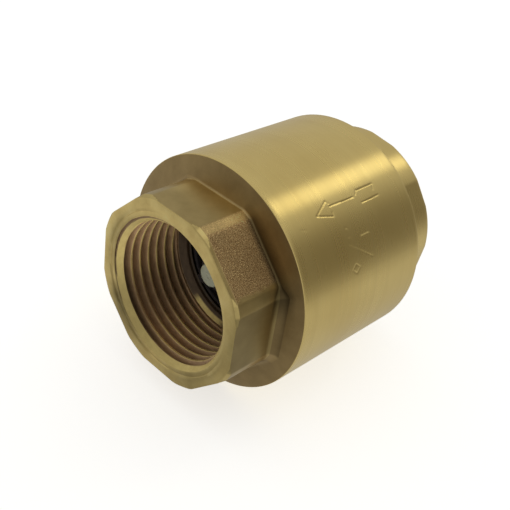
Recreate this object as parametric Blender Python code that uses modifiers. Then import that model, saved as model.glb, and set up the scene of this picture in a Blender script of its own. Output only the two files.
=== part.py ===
"""Spring check valve with G 3/4 female threads at both ends.

A brass body and a brass inlet cap hold a sprung poppet that closes on a seat in the cap.
The valve lies along world X: water enters at +X and leaves at -X. Each piece is modelled in
the bore's own frame, in which Z runs from outlet to inlet, and hangs from an empty that lays
that axis along world X. Dimensions are in millimetres and become metres in mm().
"""
import math

import bmesh
import bpy
from mathutils import Matrix

# Pipe thread, G 3/4 (ISO 228)
THREAD_PITCH = 1.814
THREAD_MINOR_R = 24.117 / 2
THREAD_MAJOR_R = 26.441 / 2

# Stations along the bore, outlet face to inlet face
OUTLET_FACE = -24.4
FLANGE_BASE = -15.25
DRUM_START = -14.06
OUTLET_SHOULDER = -9.9
WEB_INNER = -7.6
GASKET_STEP = 3.4
SEAT_TIP = 4.4
CAP_NOSE = 5.2
INLET_SHOULDER = 11.2
CAP_SHOULDER = 15.1
DRUM_END = 15.42
INLET_FACE = 24.4

# Brass shells
DRUM_R = 20.5
OUTLET_FLATS = 31.5
OUTLET_CORNER_R = 16.7
OUTLET_CHAMFER_R = 16.2
OUTLET_CHAMFER_DEPTH = 0.5
INLET_FLATS = 32.54
INLET_CORNER_R = 16.45
INLET_FLATS_TURN = 7.0
MOUTH_R = 13.6
UNDERCUT_R = 12.3
WEB_BORE_R = 10.3
CHAMBER_R = 16.2
CAP_SOCKET_R = 18.0
SEAT_BORE_R = 9.5
SEAT_LIP_R = 10.9
EDGE = 0.3
MOUTH_DEPTH = 1.6
UNDERCUT_LENGTH = 0.7
SHOULDER_CONE = 1.1

# Poppet and its guide
LIFT = 5.0
STEM_R = 2.1
STEM_TIP = -15.0
DISC_R = 13.2
DISC_BACK = -0.4
DISC_FRONT = 1.8
DISC_HUB_END = -3.0
DISC_HUB_R = 4.4
SEAL_R = 12.2
SEAL_THICKNESS = 2.0
WING_R = 9.1
WING_THICKNESS = 1.2
WING_END = 11.0
WING_COUNT = 4
GUIDE_RING_R = 15.9
GUIDE_WINDOW_R = 9.3
GUIDE_HUB_R = 4.2
GUIDE_TIP = -12.8
SKIRT_TIP = -9.6
ARM_WIDTH = 1.8
ARM_KNEE_R = 7.0
ARM_COUNT = 4

# Return spring
WIRE_D = 0.6
SPRING_R = 5.5
SPRING_TURNS = 5.5
POINTS_PER_TURN = 20

GAP = 0.3
ROUND_STEPS = 48
STEM_STEPS = 24
FLAT_COUNT = 8
MERGE = 0.000001

HOLE_R = STEM_R + GAP
SEAL_FRONT = SEAT_TIP - GAP
SEAL_BACK = SEAL_FRONT - SEAL_THICKNESS
HUB_STOP = DISC_HUB_END - 3 * GAP - LIFT - GAP
ARM_INNER = HUB_STOP - GAP


def mm(value):
    return value / 1000


def material(name, colour, roughness, metallic):
    made = bpy.data.materials.new(name)
    made.use_nodes = True
    shader = made.node_tree.nodes["Principled BSDF"]
    shader.inputs["Base Color"].default_value = (*colour, 1)
    shader.inputs["Roughness"].default_value = roughness
    shader.inputs["Metallic"].default_value = metallic
    return made


def collection(name):
    made = bpy.data.collections.new(name)
    bpy.context.scene.collection.children.link(made)
    return made


def empty(name, where):
    made = bpy.data.objects.new(name, None)
    made.rotation_euler = (0, math.pi / 2, 0)
    where.objects.link(made)
    return made


def turned(name, profile, steps=ROUND_STEPS, solid=False):
    """A shape of revolution. profile is (radius, station) down the outside and up the bore.

    A solid profile starts and ends on the axis. Radii are enlarged so that the flats of the
    many-sided outline, and not its corners, lie at the stated radius.
    """
    grow = 1 / math.cos(math.pi / steps)
    points = [(mm(r * grow), 0, mm(z)) for r, z in profile]
    edges = [(i, i + 1) for i in range(len(points) - 1)]
    if not solid:
        edges.append((len(points) - 1, 0))
    mesh = bpy.data.meshes.new(name)
    mesh.from_pydata(points, edges, [])
    made = bpy.data.objects.new(name, mesh)
    made.rotation_euler = (0, 0, math.pi / steps)
    screw = made.modifiers.new("turn", "SCREW")
    screw.axis = "Z"
    screw.angle = 2 * math.pi
    screw.steps = steps
    screw.render_steps = steps
    screw.use_merge_vertices = True
    screw.merge_threshold = MERGE
    return made


def block(name, size, centre, turn=0.0):
    """A box of size (radial, across, along) whose centre is (radius, station), turned about the bore."""
    mesh = bpy.data.meshes.new(name)
    shape = bmesh.new()
    bmesh.ops.create_cube(shape, size=1, matrix=Matrix.Diagonal((*[mm(s) for s in size], 1)))
    shape.to_mesh(mesh)
    shape.free()
    made = bpy.data.objects.new(name, mesh)
    radius, station = centre
    made.location = (mm(radius) * math.cos(turn), mm(radius) * math.sin(turn), mm(station))
    made.rotation_euler = (0, 0, turn)
    return made


def rib(name, outline, thickness, turn):
    """A flat plate standing on the bore's axis: outline is (radius, station), turned about the bore."""
    count = len(outline)
    half = mm(thickness) / 2
    points = [(mm(r), side * half, mm(z)) for side in (-1, 1) for r, z in outline]
    faces = [list(range(count)), list(range(2 * count - 1, count - 1, -1))]
    faces += [[(i + 1) % count, i, count + i, count + (i + 1) % count] for i in range(count)]
    mesh = bpy.data.meshes.new(name)
    mesh.from_pydata(points, [], faces)
    shape = bmesh.new()
    shape.from_mesh(mesh)
    bmesh.ops.recalc_face_normals(shape, faces=shape.faces)
    shape.to_mesh(mesh)
    shape.free()
    made = bpy.data.objects.new(name, mesh)
    made.rotation_euler = (0, 0, turn)
    return made


def keep_as_tool(tool, parent):
    tools.objects.link(tool)
    tool.parent = parent
    tool.hide_render = True
    tool.display_type = "WIRE"


def combine(made, operation, others):
    for other in others:
        keep_as_tool(other, made.parent)
        boolean = made.modifiers.new(other.name, "BOOLEAN")
        boolean.operation = operation
        boolean.object = other
        boolean.solver = "EXACT"


def place(made, parent, finish):
    parts.objects.link(made)
    made.parent = parent
    if made.type == "MESH":
        made.data.materials.append(finish)


def shade(made):
    """Bakes the modifiers, then shades the round faces smooth."""
    bpy.context.view_layer.update()
    baked = bpy.data.meshes.new_from_object(made.evaluated_get(bpy.context.evaluated_depsgraph_get()))
    made.modifiers.clear()
    made.data = baked
    baked.shade_smooth()
    baked.set_sharp_from_angle(angle=math.radians(30))


def thread_profile(start, turns):
    """Crests and roots of a female pipe thread, from station start towards the inlet."""
    points = []
    for turn in range(turns):
        crest = start + turn * THREAD_PITCH
        points.append((THREAD_MINOR_R, crest))
        points.append((THREAD_MAJOR_R, crest + THREAD_PITCH / 2))
    points.append((THREAD_MINOR_R, start + turns * THREAD_PITCH))
    return points


def flats(name, across, start, end, offset=0.0):
    """The material outside eight wrench flats, between two stations."""
    depth = 4.0
    width = 12.0
    size = (depth, width, end - start)
    centre = (across / 2 + depth / 2, (start + end) / 2)
    pitch = 2 * math.pi / FLAT_COUNT
    return [
        block(f"{name}_{i}", size, centre, math.radians(offset) + i * pitch)
        for i in range(FLAT_COUNT)
    ]


def valve_body(parent):
    thread_start = OUTLET_FACE + MOUTH_DEPTH + 0.4
    outer = [
        (DRUM_R - EDGE, DRUM_END),
        (DRUM_R, DRUM_END - EDGE),
        (DRUM_R, DRUM_START + EDGE),
        (DRUM_R - EDGE, DRUM_START),
        (OUTLET_CORNER_R, FLANGE_BASE + 0.15),
        (OUTLET_CORNER_R, OUTLET_FACE + OUTLET_CHAMFER_DEPTH),
        (OUTLET_CHAMFER_R, OUTLET_FACE),
    ]
    bore = [
        (MOUTH_R, OUTLET_FACE),
        (UNDERCUT_R + 0.2, OUTLET_FACE + MOUTH_DEPTH),
        *thread_profile(thread_start, 6),
        (UNDERCUT_R, OUTLET_SHOULDER - SHOULDER_CONE - EDGE),
        (UNDERCUT_R, OUTLET_SHOULDER - SHOULDER_CONE),
        (UNDERCUT_R - SHOULDER_CONE, OUTLET_SHOULDER),
        (WEB_BORE_R, OUTLET_SHOULDER),
        (WEB_BORE_R, WEB_INNER),
        (CHAMBER_R, WEB_INNER),
        (CHAMBER_R, GASKET_STEP),
        (CAP_SOCKET_R, GASKET_STEP),
        (CAP_SOCKET_R, DRUM_END - EDGE),
        (CAP_SOCKET_R + EDGE, DRUM_END),
    ]
    made = turned("valve_body", outer + bore)
    place(made, parent, brass)
    combine(made, "DIFFERENCE", flats("outlet_flat", OUTLET_FLATS, OUTLET_FACE - 1, FLANGE_BASE + 0.15))
    shade(made)


def inlet_cap(parent):
    outer = [
        (INLET_CORNER_R - EDGE, INLET_FACE),
        (INLET_CORNER_R, INLET_FACE - EDGE),
        (INLET_CORNER_R, CAP_SHOULDER),
        (CAP_SOCKET_R - GAP, CAP_SHOULDER),
        (CAP_SOCKET_R - GAP, CAP_NOSE + EDGE),
        (CAP_SOCKET_R - GAP - EDGE, CAP_NOSE),
    ]
    seat = [
        (SEAT_LIP_R, CAP_NOSE),
        (SEAT_LIP_R - 0.4, SEAT_TIP),
        (SEAT_BORE_R + 0.4, SEAT_TIP),
        (SEAT_BORE_R, SEAT_TIP + 0.4),
        (SEAT_BORE_R, INLET_SHOULDER),
        (UNDERCUT_R, INLET_SHOULDER),
    ]
    thread_start = INLET_SHOULDER + UNDERCUT_LENGTH
    mouth = [
        (UNDERCUT_R + 0.2, INLET_FACE - MOUTH_DEPTH),
        (MOUTH_R, INLET_FACE),
    ]
    made = turned("inlet_cap", outer + seat + thread_profile(thread_start, 5) + mouth)
    place(made, parent, brass)
    combine(
        made,
        "DIFFERENCE",
        flats("inlet_flat", INLET_FLATS, CAP_SHOULDER + 0.02, INLET_FACE + 1, INLET_FLATS_TURN),
    )
    shade(made)


def body_gasket(parent):
    outer_r = CAP_SOCKET_R - GAP
    inner_r = CHAMBER_R + 0.2
    top = CAP_NOSE - GAP
    bottom = GASKET_STEP + GAP
    made = turned("body_gasket", [(outer_r, top), (outer_r, bottom), (inner_r, bottom), (inner_r, top)])
    place(made, parent, rubber)
    shade(made)


def stem_guide(parent):
    """Ring on the chamber's web, a skirt in the web's bore, and a hub on four dished arms."""
    ring_top = WEB_INNER + GAP + 1.4
    skirt_r = WEB_BORE_R - GAP
    ring = [
        (GUIDE_RING_R, ring_top),
        (GUIDE_RING_R, WEB_INNER + GAP),
        (skirt_r, WEB_INNER + GAP),
        (skirt_r, SKIRT_TIP),
        (GUIDE_WINDOW_R, SKIRT_TIP),
        (GUIDE_WINDOW_R, ring_top),
    ]
    hub = [
        (GUIDE_HUB_R, HUB_STOP),
        (GUIDE_HUB_R, GUIDE_TIP + EDGE),
        (GUIDE_HUB_R - EDGE, GUIDE_TIP),
        (HOLE_R, GUIDE_TIP),
        (HOLE_R, HUB_STOP),
    ]
    arm_inner_r = (GUIDE_HUB_R + HOLE_R) / 2
    arm_outer_r = (GUIDE_WINDOW_R + skirt_r) / 2
    arm_front = GUIDE_TIP + 1.0
    arm = [
        (arm_inner_r, ARM_INNER),
        (ARM_KNEE_R, ARM_INNER),
        (arm_outer_r, WEB_INNER - GAP),
        (arm_outer_r, SKIRT_TIP + 0.2),
        (ARM_KNEE_R + 0.4, arm_front),
        (arm_inner_r, arm_front),
    ]
    arms = [
        rib(f"guide_arm_{i}", arm, ARM_WIDTH, (i + 0.5) * 2 * math.pi / ARM_COUNT)
        for i in range(ARM_COUNT)
    ]
    made = turned("stem_guide", ring)
    place(made, parent, black_nylon)
    combine(made, "UNION", [turned("guide_hub", hub), *arms])
    shade(made)


def poppet_disc(parent):
    """Disc with a rim round the seal, and a hub behind it that centres the spring."""
    rim_r = SEAL_R + GAP
    profile = [
        (DISC_R, SEAL_BACK + 0.6),
        (DISC_R, DISC_BACK + EDGE),
        (DISC_R - 2 * EDGE, DISC_BACK),
        (DISC_HUB_R, DISC_BACK),
        (DISC_HUB_R - EDGE, DISC_HUB_END),
        (HOLE_R, DISC_HUB_END),
        (HOLE_R, DISC_FRONT),
        (rim_r, DISC_FRONT),
        (rim_r, SEAL_BACK + 0.6),
    ]
    made = turned("poppet_disc", profile)
    place(made, parent, black_nylon)
    shade(made)


def poppet_stem(parent):
    """Headed pin that clips the poppet together and slides in the guide."""
    head_r = 3.0
    head_back = SEAL_FRONT + GAP + 1.5 + GAP
    collar_front = DISC_HUB_END - GAP
    collar_back = collar_front - 2 * GAP
    profile = [
        (0, head_back + 1.2),
        (head_r - EDGE, head_back + 1.2),
        (head_r, head_back + 1.2 - EDGE),
        (head_r, head_back),
        (STEM_R, head_back),
        (STEM_R, collar_front),
        (head_r, collar_front),
        (STEM_R + EDGE, collar_back),
        (STEM_R, collar_back),
        (STEM_R, STEM_TIP + EDGE),
        (STEM_R - EDGE, STEM_TIP),
        (0, STEM_TIP),
    ]
    made = turned("poppet_stem", profile, STEM_STEPS, solid=True)
    place(made, parent, white_acetal)
    shade(made)


def seat_seal(parent):
    hole_r = 3.6
    profile = [
        (SEAL_R - 0.2, SEAL_FRONT),
        (SEAL_R, SEAL_FRONT - 0.2),
        (SEAL_R, SEAL_BACK),
        (hole_r, SEAL_BACK),
        (hole_r, SEAL_FRONT),
    ]
    made = turned("seat_seal", profile)
    place(made, parent, rubber)
    shade(made)


def seal_retainer(parent):
    """Plate that clamps the seal, with four wings that keep the poppet central in the seat."""
    plate_back = SEAL_FRONT + GAP
    plate_front = plate_back + 1.5
    hub_r = 4.6
    hub_end = plate_front + 2.5
    cavity_r = 3.3
    profile = [
        (hub_r, hub_end),
        (hub_r, plate_front),
        (SEAT_BORE_R - 2 * GAP, plate_front),
        (SEAT_BORE_R - 2 * GAP, plate_back),
        (HOLE_R, plate_back),
        (HOLE_R, plate_front),
        (cavity_r, plate_front),
        (cavity_r, hub_end),
    ]
    wing_inner_r = (hub_r + cavity_r) / 2
    wing_size = (WING_R - wing_inner_r, WING_THICKNESS, WING_END - plate_back - 0.7)
    wing_centre = ((WING_R + wing_inner_r) / 2, (WING_END + plate_back + 0.7) / 2)
    wings = [
        block(f"retainer_wing_{i}", wing_size, wing_centre, i * 2 * math.pi / WING_COUNT)
        for i in range(WING_COUNT)
    ]
    made = turned("seal_retainer", profile)
    place(made, parent, black_nylon)
    combine(made, "UNION", wings)
    shade(made)


def return_spring(parent):
    """Compression spring with one closed turn at each end."""
    bottom = ARM_INNER + GAP + WIRE_D / 2
    top = DISC_BACK - GAP - WIRE_D / 2
    closed_rise = WIRE_D * 1.08
    open_turns = SPRING_TURNS - 2
    open_rise = (top - bottom - 2 * closed_rise) / open_turns
    count = round(SPRING_TURNS * POINTS_PER_TURN)
    curve = bpy.data.curves.new("return_spring", "CURVE")
    curve.dimensions = "3D"
    curve.bevel_depth = mm(WIRE_D / 2)
    curve.bevel_resolution = 2
    curve.use_fill_caps = True
    line = curve.splines.new("POLY")
    line.points.add(count)
    for i in range(count + 1):
        turn = i / POINTS_PER_TURN
        first = min(turn, 1)
        middle = min(max(turn - 1, 0), open_turns)
        last = max(turn - 1 - open_turns, 0)
        height = bottom + closed_rise * (first + last) + open_rise * middle
        angle = 2 * math.pi * turn
        x = mm(SPRING_R) * math.cos(angle)
        y = mm(SPRING_R) * math.sin(angle)
        line.points[i].co = (x, y, mm(height), 1)
    curve.materials.append(stainless)
    place(bpy.data.objects.new("return_spring", curve), parent, stainless)


for old in list(bpy.data.objects):
    bpy.data.objects.remove(old)

parts = collection("check_valve")
tools = collection("cutters")
brass = material("brass", (0.62, 0.47, 0.21), 0.32, 1.0)
black_nylon = material("black_nylon", (0.02, 0.02, 0.022), 0.5, 0.0)
white_acetal = material("white_acetal", (0.78, 0.82, 0.76), 0.35, 0.0)
rubber = material("nitrile_rubber", (0.025, 0.025, 0.025), 0.75, 0.0)
stainless = material("stainless_steel", (0.62, 0.62, 0.6), 0.25, 1.0)

housing = empty("housing_axis", parts)
slide = empty("poppet_slide", parts)
valve_body(housing)
inlet_cap(housing)
body_gasket(housing)
stem_guide(housing)
return_spring(housing)
poppet_disc(slide)
poppet_stem(slide)
seat_seal(slide)
seal_retainer(slide)
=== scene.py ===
"""Looks of the brass spring check valve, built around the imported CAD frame.

The valve lies along X with its outlet at -X. Angles about the bore are degrees in the YZ plane,
0 at +Y and 90 at +Z, as atan2(z, y) gives them. Lengths are millimetres until a mesh is made,
and m() turns them into metres. The materials and the floor are set in metres.
"""
import math

import bmesh
import bpy
import numpy as np
from mathutils import Matrix, Vector, noise


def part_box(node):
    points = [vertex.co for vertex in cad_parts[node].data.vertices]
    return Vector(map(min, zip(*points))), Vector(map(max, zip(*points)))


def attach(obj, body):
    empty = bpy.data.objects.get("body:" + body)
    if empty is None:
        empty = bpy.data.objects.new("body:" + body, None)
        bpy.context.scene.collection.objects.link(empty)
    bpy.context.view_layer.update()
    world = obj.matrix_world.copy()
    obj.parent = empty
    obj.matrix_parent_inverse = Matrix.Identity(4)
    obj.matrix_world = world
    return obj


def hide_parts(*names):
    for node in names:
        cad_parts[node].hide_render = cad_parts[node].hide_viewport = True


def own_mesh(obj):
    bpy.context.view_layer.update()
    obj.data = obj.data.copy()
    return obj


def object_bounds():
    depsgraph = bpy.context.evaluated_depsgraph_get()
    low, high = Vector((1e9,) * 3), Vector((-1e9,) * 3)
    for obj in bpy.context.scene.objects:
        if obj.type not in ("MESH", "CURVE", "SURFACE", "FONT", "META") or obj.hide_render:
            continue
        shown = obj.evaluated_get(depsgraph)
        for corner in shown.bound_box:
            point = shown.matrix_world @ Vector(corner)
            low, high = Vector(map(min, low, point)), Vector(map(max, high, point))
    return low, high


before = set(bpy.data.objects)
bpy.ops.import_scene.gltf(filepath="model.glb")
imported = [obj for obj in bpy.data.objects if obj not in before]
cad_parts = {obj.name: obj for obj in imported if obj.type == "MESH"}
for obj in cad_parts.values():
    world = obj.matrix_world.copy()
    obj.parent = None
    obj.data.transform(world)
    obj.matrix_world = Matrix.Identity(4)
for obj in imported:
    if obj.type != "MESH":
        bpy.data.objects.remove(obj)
cad_low, cad_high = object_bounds()


def m(value):
    return value / 1000


def box_mm(node):
    low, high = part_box(node)
    return low * 1000, high * 1000


# ------------ sizes read from the frame

body_low, body_high = box_mm("valve_body")
_, cap_high = box_mm("inlet_cap")
guide_low, guide_high = box_mm("stem_guide")
spring_low, spring_high = box_mm("return_spring")
disc_low, disc_high = box_mm("poppet_disc")
stem_low, stem_high = box_mm("poppet_stem")
seal_low, seal_high = box_mm("seat_seal")
retainer_low, retainer_high = box_mm("seal_retainer")
gasket_low, gasket_high = box_mm("body_gasket")

OUTLET_FACE = body_low.x
DRUM_END = body_high.x
INLET_FACE = cap_high.x
CAP_NOSE = gasket_high.x + 0.3
DRUM_R = body_high.z

# ------------ design sizes, millimetres

# The G 3/4 thread, its undercut, and the chamfered mouth and shallow dish in each end face.
PITCH = 1.814
THREAD_MINOR = 12.0585
THREAD_DEPTH = 1.162
THREAD_OFFSET = 0.19
UNDERCUT = 0.24
CREST_HALF = 0.1
FLANK = 0.65
MOUTH_R = 13.22
MOUTH_DEPTH = 1.5
DISH_R = 14.0
DISH_DEPTH = 0.14

# The body: drum, flange, octagonal outlet, and the web and chamber inside.
DRUM_START = -14.06
FLANGE_BASE = -15.0
EDGE_BREAK = 0.14
OUTLET_APOTHEM = 15.75
OUTLET_CORNER_R = 16.65
FACE_CORNER_R = 16.2
SHOULDER = -9.9
SHOULDER_CONE = 1.1
WEB_INNER = -7.6
WEB_BORE_R = 10.3
CHAMBER_R = 16.2
GASKET_STEP = 3.4
SOCKET_R = 18.0

# The inlet cap: its far boss, the seat's bore and lip, and the shoulder on the body's end.
INLET_APOTHEM = 16.27
INLET_CORNER_R = 16.45
INLET_TURN = 7.0
SEAT_BORE_R = 9.5
SEAT_LIP_R = 10.9
SEAT_TIP = 4.4
INLET_SHOULDER = 11.2
CAP_SHOULDER = 15.1

# The stem's guide, the poppet and the return spring.
STEM_HOLE_R = 2.4
STEM_R = 2.1
GUIDE_WINDOW_R = 9.3
GUIDE_SKIRT_R = 10.0
GUIDE_HUB_R = 4.2
ARM_INNER = -9.5
ARM_KNEE_R = 7.0
SKIRT_TIP = -9.6
ARM_WIDTH = 1.8
DISC_BACK = -0.4
DISC_FRONT = 1.8
DISC_HUB_R = 4.4
RIM_BACK = 2.7
RIM_R = 12.5
SEAL_HOLE_R = 3.6
RETAINER_HUB_R = 4.6
RETAINER_CAVITY_R = 3.3
WING_R = 9.1
WING_THICKNESS = 1.2
WIRE_R = 0.3
SPRING_R = 5.5
SPRING_TURNS = 5.5


def smooth(edge0, edge1, value):
    """0 up to edge0, 1 from edge1, and an even S between them."""
    t = np.clip((np.asarray(value, float) - edge0) / (edge1 - edge0), 0, 1)
    return t * t * (3 - 2 * t)


# ------------ node helpers


def new_material(name):
    made = bpy.data.materials.new(name)
    made.use_nodes = True
    return made, made.node_tree, made.node_tree.nodes["Principled BSDF"]


def noise_over(tree, scale, detail, roughness):
    """Noise over object space, in cycles per metre: one scale, or one for each axis."""
    if isinstance(scale, (int, float)):
        scale = (scale, scale, scale)
    place = tree.nodes.new("ShaderNodeTexCoord")
    mapping = tree.nodes.new("ShaderNodeMapping")
    mapping.inputs["Scale"].default_value = scale
    tree.links.new(place.outputs["Object"], mapping.inputs["Vector"])
    grain = tree.nodes.new("ShaderNodeTexNoise")
    grain.inputs["Scale"].default_value = 1.0
    grain.inputs["Detail"].default_value = detail
    grain.inputs["Roughness"].default_value = roughness
    tree.links.new(mapping.outputs["Vector"], grain.inputs["Vector"])
    return grain.outputs["Fac"]


def ramp(tree, fac, stops):
    node = tree.nodes.new("ShaderNodeValToRGB")
    elements = node.color_ramp.elements
    while len(elements) < len(stops):
        elements.new(0.5)
    for element, (position, colour) in zip(elements, stops):
        element.position = position
        element.color = (*colour, 1)
    tree.links.new(fac, node.inputs["Fac"])
    return node.outputs["Color"]


def grey(value):
    return (value, value, value)


def math_node(tree, operation, a, b=None):
    node = tree.nodes.new("ShaderNodeMath")
    node.operation = operation
    for socket, value in zip(node.inputs, (a, b)):
        if value is None:
            continue
        if isinstance(value, (int, float)):
            socket.default_value = value
        else:
            tree.links.new(value, socket)
    return node.outputs["Value"]


def mix_colour(tree, fac, a, b, blend="MIX"):
    node = tree.nodes.new("ShaderNodeMix")
    node.data_type = "RGBA"
    node.blend_type = blend
    sockets = [s for s in node.inputs if s.enabled]
    for socket, value in zip(sockets, (fac, a, b)):
        if isinstance(value, (int, float)):
            socket.default_value = value
        elif isinstance(value, tuple):
            socket.default_value = (*value, 1)
        else:
            tree.links.new(value, socket)
    return [s for s in node.outputs if s.enabled][0]


def bump(tree, height, distance, strength, after=None):
    node = tree.nodes.new("ShaderNodeBump")
    node.inputs["Strength"].default_value = strength
    node.inputs["Distance"].default_value = distance
    tree.links.new(height, node.inputs["Height"])
    if after is not None:
        tree.links.new(after, node.inputs["Normal"])
    return node.outputs["Normal"]


def attribute(tree, label):
    node = tree.nodes.new("ShaderNodeAttribute")
    node.attribute_name = label
    return node.outputs


def toned(tree, colour):
    """Colour times the 'tone' attribute, which holds oxide and painted light and shade."""
    return mix_colour(tree, 1.0, colour, attribute(tree, "tone")["Color"], "MULTIPLY")


def dress(tree, shader, colour, gloss, metallic, normal):
    """Wires a finish into the shader; gloss is a number where it is even all over."""
    tree.links.new(colour, shader.inputs["Base Color"])
    if isinstance(gloss, (int, float)):
        shader.inputs["Roughness"].default_value = gloss
    else:
        tree.links.new(gloss, shader.inputs["Roughness"])
    shader.inputs["Metallic"].default_value = metallic
    tree.links.new(normal, shader.inputs["Normal"])


# ------------ materials

BRASS = (0.90, 0.70, 0.28)
BRASS_DULL = tuple(0.965 * c for c in BRASS)
BRASS_BRIGHT = tuple(1.025 * c for c in BRASS)


def turned_brass():
    """Satin turned brass: fine rings round the bore that streak its colour, gloss and relief."""
    made, tree, shader = new_material("turned_brass")
    broad = noise_over(tree, (700, 16, 16), 4, 0.7)
    fine = noise_over(tree, (5200, 40, 40), 2, 0.6)
    stain = noise_over(tree, 60, 3, 0.6)
    streak = ramp(tree, broad, [(0.3, BRASS_DULL), (0.7, BRASS_BRIGHT)])
    dull = ramp(tree, stain, [(0.35, (0.93, 0.91, 0.86)), (0.65, grey(1))])
    colour = mix_colour(tree, 1.0, streak, dull, "MULTIPLY")
    gloss = ramp(tree, broad, [(0.25, grey(0.3)), (0.75, grey(0.26))])
    relief = bump(tree, fine, 0.000004, 0.5)
    dress(tree, shader, colour, gloss, 1, bump(tree, broad, 0.00001, 0.08, relief))
    shader.inputs["Anisotropic"].default_value = 0.7
    shader.inputs["Anisotropic Rotation"].default_value = 0.25
    tangent = tree.nodes.new("ShaderNodeTangent")
    tangent.direction_type = "RADIAL"
    tangent.axis = "X"
    tree.links.new(tangent.outputs["Tangent"], shader.inputs["Tangent"])
    return made


def faced_brass():
    """End faces and mouths: facing-tool rings, some oxide, and painted light and shade from 'tone'."""
    made, tree, shader = new_material("faced_brass")
    place = tree.nodes.new("ShaderNodeTexCoord")
    split = tree.nodes.new("ShaderNodeSeparateXYZ")
    tree.links.new(place.outputs["Object"], split.inputs["Vector"])
    y, z = split.outputs["Y"], split.outputs["Z"]
    y_squared = math_node(tree, "MULTIPLY", y, y)
    z_squared = math_node(tree, "MULTIPLY", z, z)
    radius = math_node(tree, "SQRT", math_node(tree, "ADD", y_squared, z_squared))
    rings = tree.nodes.new("ShaderNodeTexNoise")
    rings.noise_dimensions = "1D"
    rings.inputs["Scale"].default_value = 5000
    rings.inputs["Detail"].default_value = 2
    tree.links.new(radius, rings.inputs["W"])
    tarnish_and_shade = noise_over(tree, 220, 4, 0.65)
    brown, middle, pale = (0.72, 0.55, 0.22), (0.84, 0.66, 0.27), (0.90, 0.72, 0.33)
    colour = ramp(tree, tarnish_and_shade, [(0.3, brown), (0.55, middle), (0.75, pale)])
    gloss = ramp(tree, tarnish_and_shade, [(0.3, grey(0.46)), (0.7, grey(0.32))])
    relief = bump(tree, rings.outputs["Fac"], 0.00001, 0.6)
    dress(tree, shader, toned(tree, colour), gloss, 1, bump(tree, tarnish_and_shade, 0.00005, 0.35, relief))
    return made


def boss_brass():
    """Wrench flats: smooth brown satin, grainy and speckled where the 'grain' attribute is 1."""
    made, tree, shader = new_material("boss_brass")
    grain = attribute(tree, "grain")["Fac"]
    specks = noise_over(tree, 6200, 2, 0.7)
    cloud = noise_over(tree, 260, 3, 0.6)
    brushed = noise_over(tree, (400, 3200, 3200), 2, 0.6)
    satin = ramp(tree, cloud, [(0.3, (0.50, 0.37, 0.15)), (0.7, (0.62, 0.47, 0.20))])
    pit, skin, glint = (0.32, 0.20, 0.09), (0.54, 0.36, 0.17), (1.0, 0.78, 0.40)
    grainy = ramp(tree, specks, [(0.38, pit), (0.53, skin), (0.68, glint)])
    colour = toned(tree, mix_colour(tree, grain, satin, grainy))
    gloss = math_node(tree, "ADD", math_node(tree, "MULTIPLY", grain, 0.1), 0.36)
    relief = bump(tree, brushed, 0.00001, 0.4)
    depth = math_node(tree, "MULTIPLY", specks, grain)
    dress(tree, shader, colour, gloss, 1, bump(tree, depth, 0.00016, 1.0, relief))
    return made


def flange_brass():
    """The forged shoulder behind the flats, and the bore that no tool polishes: dull brown."""
    made, tree, shader = new_material("flange_brass")
    cloud = noise_over(tree, 300, 4, 0.6)
    fine = noise_over(tree, 3000, 2, 0.6)
    colour = ramp(tree, cloud, [(0.3, (0.37, 0.26, 0.115)), (0.7, (0.46, 0.33, 0.15))])
    dress(tree, shader, toned(tree, colour), 0.42, 1, bump(tree, fine, 0.00002, 0.5))
    return made


def thread_brass():
    """Cut thread by the 'crest' attribute: bright crests, partly painted highlight; dull dark roots."""
    made, tree, shader = new_material("thread_brass")
    torn = noise_over(tree, (1800, 700, 700), 4, 0.65)
    root = ramp(tree, torn, [(0.3, (0.33, 0.20, 0.10)), (0.7, (0.44, 0.28, 0.145))])
    crest = ramp(tree, torn, [(0.3, (0.74, 0.57, 0.21)), (0.7, (0.86, 0.68, 0.255))])
    colour = toned(tree, mix_colour(tree, attribute(tree, "crest")["Fac"], root, crest))
    gloss = ramp(tree, torn, [(0.3, grey(0.46)), (0.7, grey(0.36))])
    dress(tree, shader, colour, gloss, 0.5, bump(tree, torn, 0.00004, 0.5))
    return made


def moulded(name, dark, light, roughness, scale, depth):
    """A moulded plastic or rubber skin with a faint texture."""
    made, tree, shader = new_material(name)
    skin = noise_over(tree, scale, 3, 0.6)
    colour = ramp(tree, skin, [(0.3, dark), (0.7, light)])
    smoothest, roughest = roughness
    gloss = ramp(tree, skin, [(0.3, grey(roughest)), (0.7, grey(smoothest))])
    dress(tree, shader, colour, gloss, 0, bump(tree, skin, depth, 0.5))
    return made


def black_nylon():
    dark, light = (0.020, 0.015, 0.016), (0.030, 0.024, 0.025)
    return moulded("black_nylon", dark, light, (0.6, 0.75), 1400, 0.00002)


def nitrile_rubber():
    return moulded("nitrile_rubber", grey(0.016), grey(0.035), (0.6, 0.8), 900, 0.00003)


def white_acetal():
    # The stem is white; this dim cream is painted shade, for its place deep in the bore.
    dark, light = (0.34, 0.345, 0.25), (0.39, 0.395, 0.29)
    made = moulded("white_acetal", dark, light, (0.30, 0.42), 900, 0.00002)
    shader = made.node_tree.nodes["Principled BSDF"]
    shader.inputs["Subsurface Weight"].default_value = 0.25
    shader.inputs["Subsurface Radius"].default_value = (0.0012, 0.0012, 0.001)
    shader.inputs["Subsurface Scale"].default_value = 0.6
    return made


def stainless():
    made, tree, shader = new_material("stainless_steel")
    drawn = noise_over(tree, 2500, 3, 0.6)
    colour = ramp(tree, drawn, [(0.3, grey(0.52)), (0.7, grey(0.68))])
    gloss = ramp(tree, drawn, [(0.3, grey(0.34)), (0.7, grey(0.2))])
    dress(tree, shader, colour, gloss, 1, bump(tree, drawn, 0.00001, 0.4))
    return made


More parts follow.
